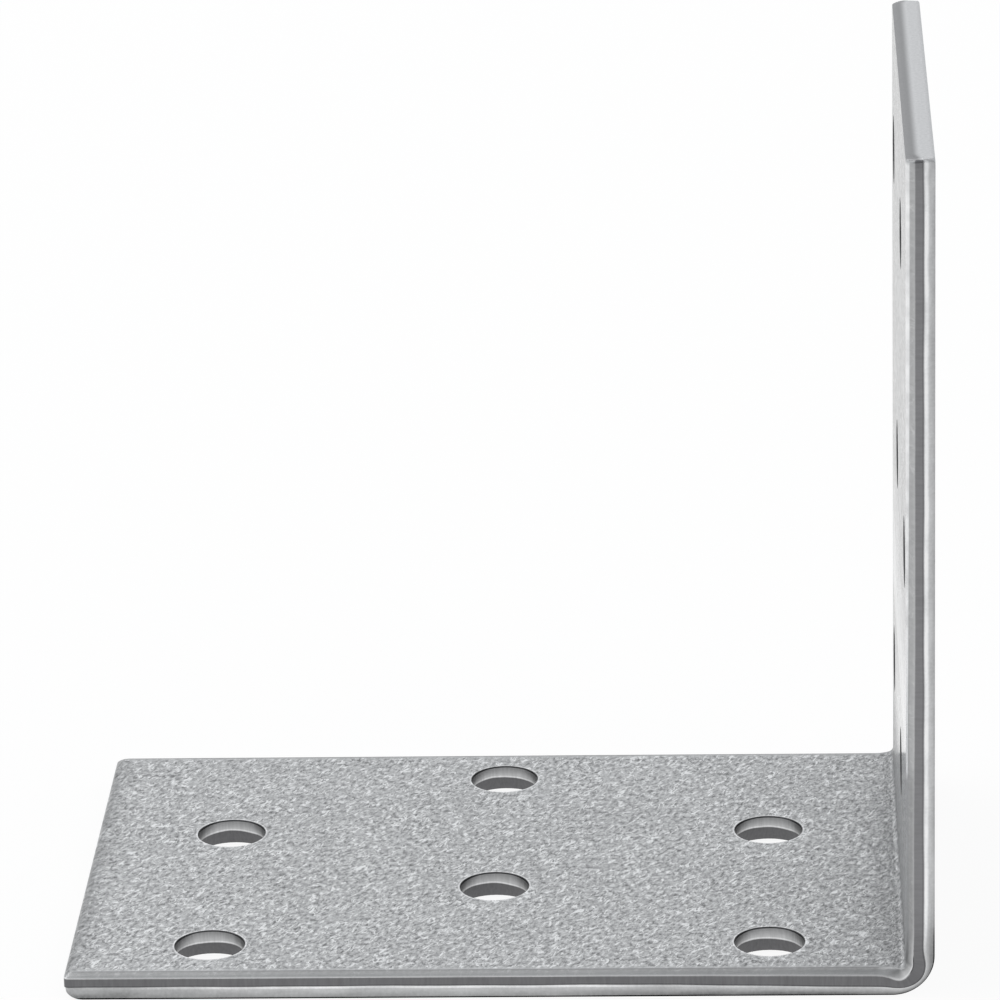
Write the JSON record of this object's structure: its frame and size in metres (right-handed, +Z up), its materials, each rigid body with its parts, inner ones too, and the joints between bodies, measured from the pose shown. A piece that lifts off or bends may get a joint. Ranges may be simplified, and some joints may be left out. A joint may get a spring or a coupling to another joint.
{
  "type": "angle bracket",
  "caption": "Right-angle bracket folded from one punched galvanised steel sheet, with staggered screw holes in both legs, for joining two parts at a corner.",
  "frame": {"origin": "under the middle of the bracket's box, on the outer face of the base leg", "axes": "+Z up out of the base leg's outer face, +X towards the wall leg, whose outer face looks along +X, and +Y along the fold, away from the pictured side"},
  "size_m": [0.0616, 0.04, 0.0616],
  "materials": {
    "galvanised_sheet": "hot-dip galvanised, satin, with a fine mottled coating and bare smooth and torn bands on the cut edges"
  },
  "bodies": {
    "root": {"bracket": "galvanised_sheet"}
  },
  "joints": []
}
